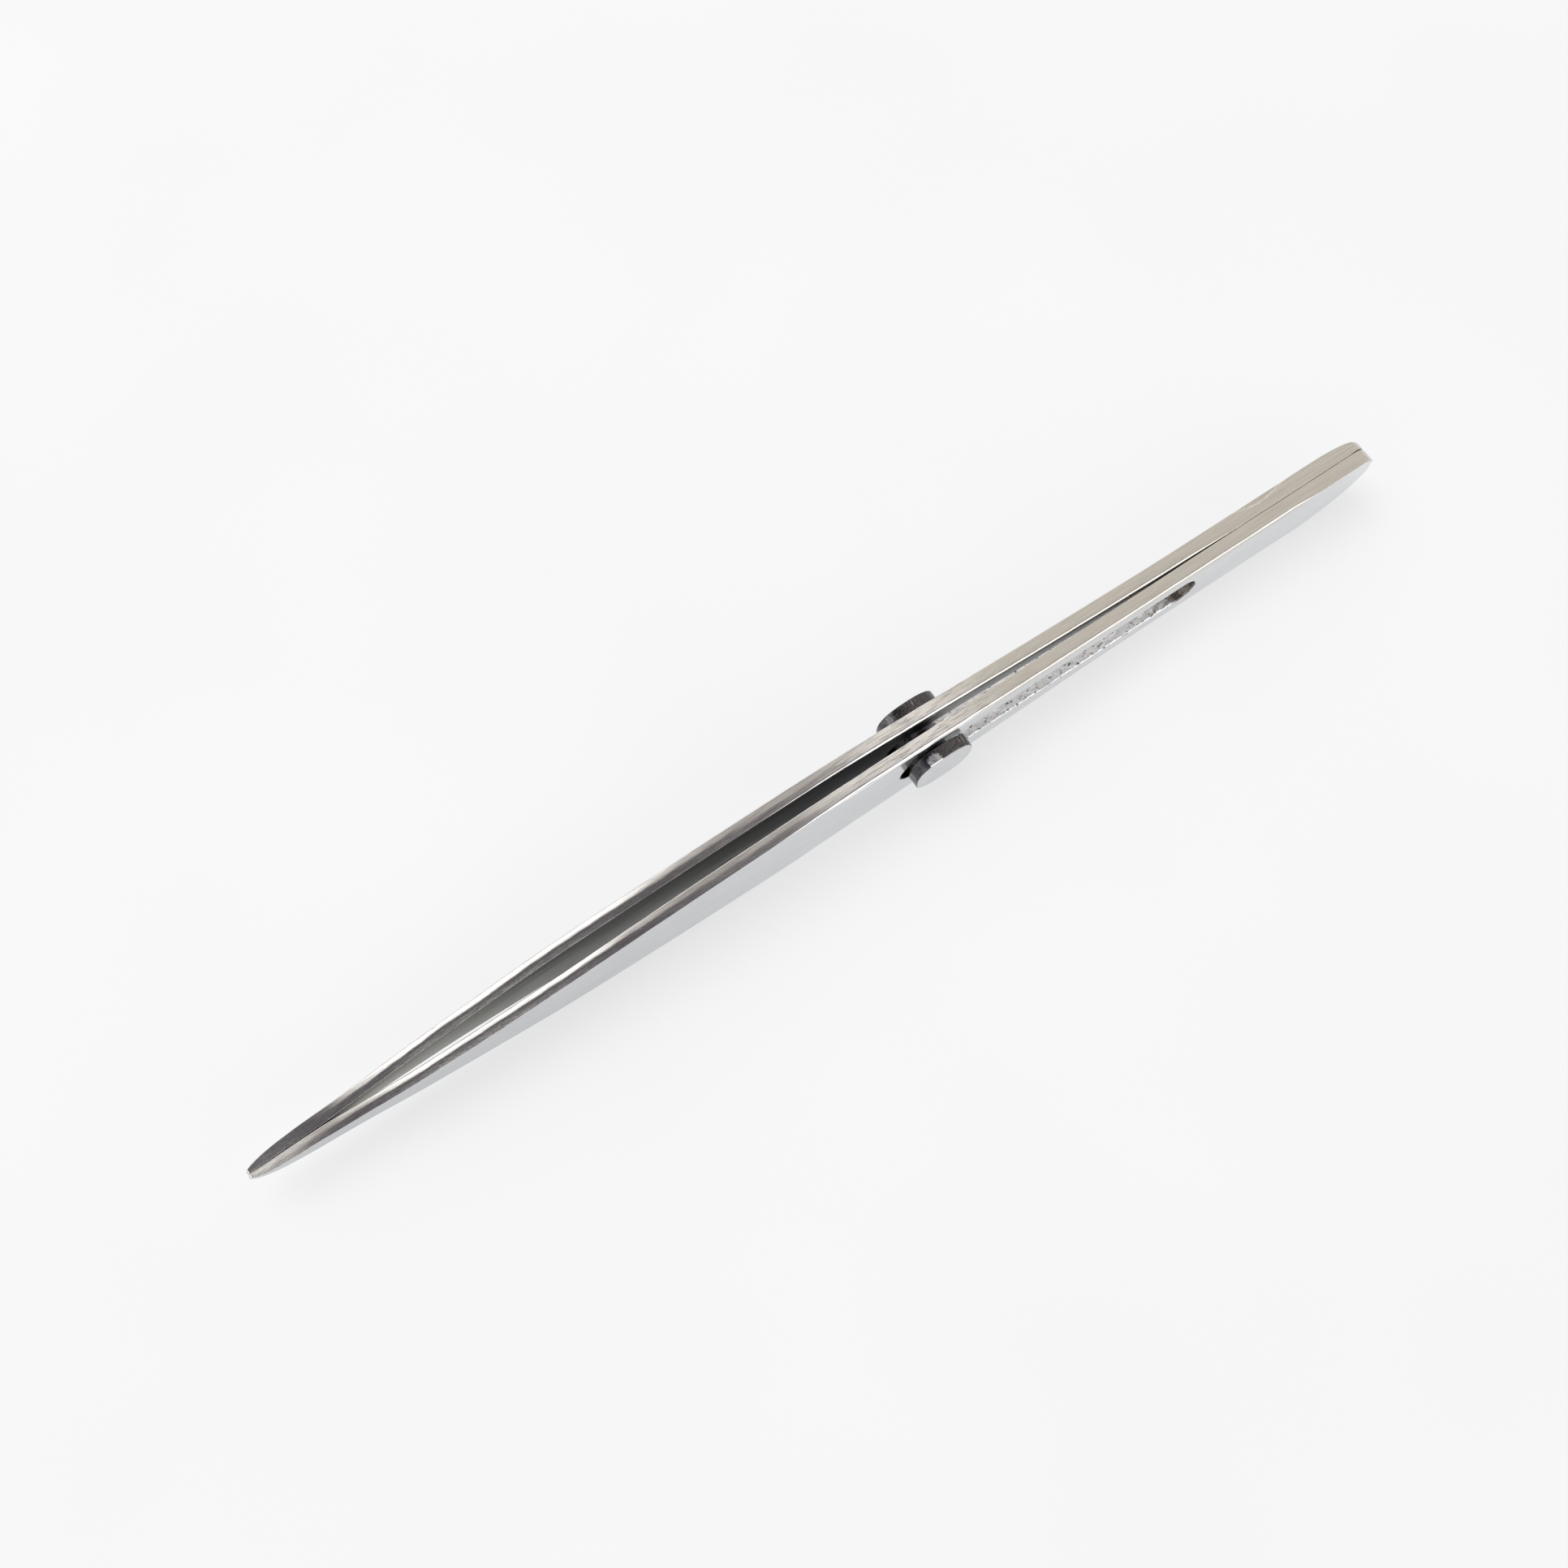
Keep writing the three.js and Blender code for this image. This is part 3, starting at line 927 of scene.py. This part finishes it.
def ground_steel():
    """The narrow edges: ground lengthwise, streaked, with a painted highlight at the slider and warm
    behind it.
    """
    material, nodes, shader = metal("ground_steel")
    streaks = nodes.noise(7, 0.16, 5, 0.65)
    scratches = nodes.noise(5, 0.05, 4, 0.7)
    patches = nodes.noise(4.5, 0.9, 3, 0.6)
    tone = nodes.mix(
        patches,
        nodes.ramp(streaks, [(0.34, (0.42, 0.395, 0.37)), (0.66, (0.68, 0.65, 0.61))]),
        nodes.ramp(streaks, [(0.34, (0.45, 0.445, 0.46)), (0.66, (0.7, 0.7, 0.7))]),
    )
    # painted highlight: from the bulge to the slider the edges get a near-white streaked colour in
    # place of a bright reflection
    painted_sheen = nodes.ramp(streaks, [(0.38, (0.5, 0.48, 0.47)), (0.5, (0.97, 0.96, 0.94))])
    tone = nodes.mix(nodes.along(PEAK_STATION - 1.5, PEAK_STATION + 7.5, 2), tone, painted_sheen)
    # behind the slider the painted highlight gives way to a warm tone
    rear_tone = nodes.ramp(streaks, [(0.3, (0.6, 0.575, 0.53)), (0.7, (0.76, 0.73, 0.68))])
    tone = nodes.mix(nodes.along(SLOT_FRONT + 6, SLOT_FRONT + 16), tone, rear_tone)
    nodes.link(tone, shader.inputs["Base Color"])
    nodes.link(nodes.ramp(scratches, [(0.3, 0.18), (0.7, 0.34)]), shader.inputs["Roughness"])
    relief = nodes.bump(scratches, 0.005)
    nodes.link(nodes.bump(patches, 0.02, relief), shader.inputs["Normal"])
    return material


def stamped_steel():
    """The slots' walls: torn steel, partly brightened as painted light; dark pits; painted shade at
    the ends.
    """
    material, nodes, shader = metal("stamped_steel")
    grain = nodes.noise(0.35, 0.22, 4, 0.7)
    pits = nodes.noise(0.5, 0.4, 2, 0.5)
    # partly painted light: the walls are made near-white to make up for light the narrow slots keep
    # out
    shade = nodes.mix(
        nodes.ramp(pits, [(0.33, 0.0), (0.4, 1.0)]),
        nodes.ramp(grain, [(0.3, (0.1, 0.09, 0.08)), (0.7, (0.26, 0.24, 0.22))]),
        nodes.ramp(grain, [(0.3, 0.78), (0.7, 0.98)]),
    )
    # painted shade: the slot's round rear end is darkened
    rear_end_shade = nodes.ramp(grain, [(0.3, (0.1, 0.088, 0.078)), (0.7, (0.24, 0.215, 0.19))])
    shade = nodes.mix(nodes.along(SLOT_REAR - 3.4, SLOT_REAR - 2.2), shade, rear_end_shade)
    # painted shade: the slot's front end, in the shadow of the button and pin, is near black
    shade = nodes.mix(nodes.along(SLOT_FRONT + 3, SLOT_FRONT + 2), shade, (0.03, 0.03, 0.03))
    nodes.link(shade, shader.inputs["Base Color"])
    nodes.link(nodes.ramp(grain, [(0.3, 0.27), (0.7, 0.5)]), shader.inputs["Roughness"])
    nodes.link(nodes.bump(grain, 0.03), shader.inputs["Normal"])
    return material


def rolled_steel():
    """The inner faces: dull as rolled, with painted shade darkening them from the tips to the slider.
    """
    material, nodes, shader = metal("rolled_steel")
    bands = nodes.noise(12, 0.35, 4, 0.6)
    front = nodes.ramp(bands, [(0.3, (0.34, 0.335, 0.3)), (0.7, (0.44, 0.435, 0.4))])
    middle = nodes.ramp(bands, [(0.3, (0.13, 0.13, 0.115)), (0.7, (0.19, 0.19, 0.175))])
    slider = nodes.ramp(bands, [(0.3, (0.05, 0.05, 0.05)), (0.7, (0.08, 0.08, 0.08))])
    rear = nodes.ramp(bands, [(0.3, (0.3, 0.3, 0.3)), (0.7, (0.42, 0.42, 0.42))])
    # painted shade: darker toward the slider, where the gap between the arms is deep and narrow, and
    # lighter again behind the slot
    tone = nodes.mix(nodes.along(18, 42), front, middle)
    tone = nodes.mix(nodes.along(58, 84), tone, slider)
    tone = nodes.mix(nodes.along(SLOT_FRONT + 6, SLOT_FRONT + 9), tone, rear)
    nodes.link(tone, shader.inputs["Base Color"])
    nodes.link(nodes.ramp(bands, [(0.3, 0.34), (0.7, 0.5)]), shader.inputs["Roughness"])
    nodes.link(nodes.bump(bands, 0.004), shader.inputs["Normal"])
    return material


def button_face_steel():
    """The buttons' outer faces: polished, with fine wear marks."""
    material, nodes, shader = metal("button_face_steel")
    clouds = nodes.noise(1.8, 1.8)
    wear = nodes.noise(0.9, 0.06, 4, 0.7)
    nodes.link(nodes.ramp(clouds, [(0.3, (0.6, 0.61, 0.63)), (0.7, (0.67, 0.68, 0.69))]),
               shader.inputs["Base Color"])
    nodes.link(nodes.ramp(wear, [(0.35, 0.14), (0.7, 0.26)]), shader.inputs["Roughness"])
    nodes.link(nodes.bump(wear, 0.0015), shader.inputs["Normal"])
    return material


def button_rim_steel():
    """The buttons' rims: dark and streaked across, the near one with a painted glint and a dark patch
    beside it.
    """
    material, nodes, shader = metal("button_rim_steel")
    marks = nodes.noise(0.12, 1.1, 3, 0.6)
    streaks = nodes.noise(0.45, 2.5, 2, 0.5)
    mottle = nodes.noise(0.3, 0.3, 4, 0.7)
    dark = nodes.ramp(mottle, [(0.3, (0.045, 0.04, 0.045)), (0.7, (0.17, 0.165, 0.165))])
    tone = nodes.mix(
        nodes.ramp(streaks, [(0.62, 0.0), (0.68, 1.0)]),
        dark,
        nodes.ramp(mottle, [(0.35, (0.25, 0.24, 0.21)), (0.65, (0.5, 0.48, 0.42))]),
    )
    top = SLIDER_Z + BUTTON_HEIGHT / 2
    dark_patch_place = (SLIDER_X - 2.6, -BUTTON_INNER_FACE - 0.8, top)
    glint_place = (SLIDER_X - 1.5, -BUTTON_INNER_FACE - 1.3, top)
    # a near-black patch on the near rim's top, beside the glint
    tone = nodes.mix(nodes.near_place(dark_patch_place, 0.7, 1.6), tone, (0.025, 0.025, 0.03))
    # painted highlight: a near-white glint on the near rim's top
    painted_glint = nodes.ramp(marks, [(0.26, (0.6, 0.62, 0.62)), (0.36, (0.98, 0.99, 0.98))])
    uneven = nodes.minus(nodes.near_place(glint_place, 0.3, 1.7), mottle)
    tone = nodes.mix(nodes.ramp(uneven, [(0.0, 0.0), (0.2, 1.0)]), tone, painted_glint)
    nodes.link(tone, shader.inputs["Base Color"])
    nodes.link(nodes.ramp(mottle, [(0.35, 0.16), (0.7, 0.36)]), shader.inputs["Roughness"])
    nodes.link(nodes.bump(marks, 0.012), shader.inputs["Normal"])
    return material


def turned_steel():
    """The pin: satin, with turning marks round it."""
    material, nodes, shader = metal("turned_steel")
    rings = nodes.noise(3, 0.08, 3, 0.6)
    nodes.link(nodes.ramp(rings, [(0.3, (0.1, 0.1, 0.11)), (0.7, (0.2, 0.2, 0.21))]),
               shader.inputs["Base Color"])
    nodes.link(nodes.ramp(rings, [(0.3, 0.28), (0.7, 0.42)]), shader.inputs["Roughness"])
    nodes.link(nodes.bump(rings, 0.006), shader.inputs["Normal"])
    return material


def table_paint():
    """The pale table: matt, giving a little light of its own, with the faintest unevenness."""
    material = bpy.data.materials.new("table_paint")
    material.use_nodes = True
    nodes = Nodes(material.node_tree)
    shader = nodes.add("ShaderNodeBsdfPrincipled")
    shader.inputs["Roughness"].default_value = 0.7
    shader.inputs["Specular IOR Level"].default_value = 0.05
    output = nodes.add("ShaderNodeOutputMaterial")
    nodes.link(shader.outputs["BSDF"], output.inputs["Surface"])
    clouds = nodes.noise(60, 60, 2, 0.5)
    nodes.link(nodes.ramp(clouds, [(0.3, (0.145, 0.145, 0.148)), (0.7, (0.155, 0.155, 0.158))]),
               shader.inputs["Base Color"])
    shader.inputs["Emission Color"].default_value = (0.99, 0.993, 1, 1)
    shader.inputs["Emission Strength"].default_value = 0.67
    return material


# ---------------------------------------------------------------- pieces


def add_pieces():
    """The five visible pieces, each hiding the CAD nodes it replaces; the buttons and the pin go on
    the slider's body.
    """
    arm_materials = [polished_steel(), ground_steel(), stamped_steel(), rolled_steel()]
    for side, name in ((NEAR, "near"), (FAR, "far")):
        arm = arm_piece(side, f"{name}_arm", arm_materials)
        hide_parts(f"{name}_arm_leg", f"{name}_arm_tang")
        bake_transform(arm)

    button_materials = [button_face_steel(), button_rim_steel()]
    for side, name in ((NEAR, "near"), (FAR, "far")):
        button = button_piece(side, f"{name}_slide_button", button_materials)
        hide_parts(f"{name}_button")
        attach(button, "slider")

    pin = pin_piece("cross_pin", [turned_steel()])
    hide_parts("slide_pin")
    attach(pin, "slider")


# ---------------------------------------------------------------- stage, light and camera

FLOOR_REACH = 4000
# the camera was fitted to the tool's long edges and ends in the photograph
LENS = 39.39
TARGET = Vector((-5.39, 5.24, 5.0)) * MM
DISTANCE = 212.1 * MM
HEADING = math.radians(55.77)
DOWNWARD = math.radians(71.0)


def add_floor():
    """The table's top, at height 0 under the tool."""
    data = MeshData()
    steps = np.linspace(-FLOOR_REACH, FLOOR_REACH, 5)
    points = np.array([[(x, y, 0) for y in steps] for x in steps])
    grid = data.add_grid(points, np.broadcast_to(np.array([0, 0, 1.0]), points.shape))
    data.quads(grid, 0)
    floor = data.build("table_top", [table_paint()])


def add_world():
    """A soft pale room: a bright band above a grey backdrop, dimmer overhead and behind.

    The ground slopes of the arms' front edges mirror the two dark patches overhead.
    """
    world = bpy.data.worlds.new("soft_room")
    bpy.context.scene.world = world
    world.use_nodes = True
    nodes = Nodes(world.node_tree)
    place = nodes.add("ShaderNodeTexCoord")

    def closeness(direction):
        """1 in a direction and -1 opposite it."""
        node = nodes.add("ShaderNodeVectorMath", operation="DOT_PRODUCT")
        node.inputs[1].default_value = Vector(direction).normalized()
        nodes.link(place.outputs["Generated"], node.inputs[0])
        return node.outputs["Value"]

    backdrop = (0.36, 0.363, 0.37)
    white = (1.0, 1.0, 1.0)
    overhead = (0.34, 0.323, 0.303)
    dark = (0.06, 0.056, 0.064)
    height = closeness((0, 0, 1))
    room = nodes.ramp(height, [(0.26, backdrop), (0.4, white), (0.66, white), (0.8, overhead)])
    patches = [
        ((0.9, 0.25, 0.35), 0.6, 0.78, overhead),
        ((-0.2, -0.08, 0.977), 0.86, 0.905, dark),
        ((0.2, -0.4, 0.89), 0.93, 0.965, dark),
    ]
    for direction, edge, core, tone in patches:
        patch = nodes.ramp(closeness(direction), [(edge, 0.0), (core, 1.0)])
        room = nodes.mix(patch, room, tone)
    background = nodes.add("ShaderNodeBackground")
    background.inputs["Strength"].default_value = 2.2
    nodes.link(room, background.inputs["Color"])
    output = nodes.add("ShaderNodeOutputWorld")
    nodes.link(background.outputs["Background"], output.inputs["Surface"])


def add_fill():
    """A wide soft light overhead that lights the table and isn't mirrored in the steel."""
    light = bpy.data.lights.new("overhead_fill", "AREA")
    light.shape = "SQUARE"
    light.size = 1.0
    light.energy = 22.0
    fill = bpy.data.objects.new("overhead_fill", light)
    fill.location = (-0.2, 0.55, 1.4)
    fill.rotation_euler = (-fill.location).to_track_quat("-Z", "Y").to_euler()
    fill.visible_glossy = False
    bpy.context.scene.collection.objects.link(fill)


def add_camera():
    """The camera, at the photograph's viewing angle."""
    camera = bpy.data.cameras.new("camera")
    camera.lens = LENS
    camera.sensor_width = 36
    camera.clip_start = 0.01
    viewer = bpy.data.objects.new("camera", camera)
    look = Vector((
        math.cos(HEADING) * math.cos(DOWNWARD),
        math.sin(HEADING) * math.cos(DOWNWARD),
        -math.sin(DOWNWARD),
    ))
    viewer.location = TARGET - DISTANCE * look
    viewer.rotation_euler = look.to_track_quat("-Z", "Y").to_euler()
    bpy.context.scene.collection.objects.link(viewer)
    bpy.context.scene.camera = viewer


add_pieces()
add_floor()
add_world()
add_fill()
add_camera()
bpy.context.scene.view_settings.view_transform = "Standard"
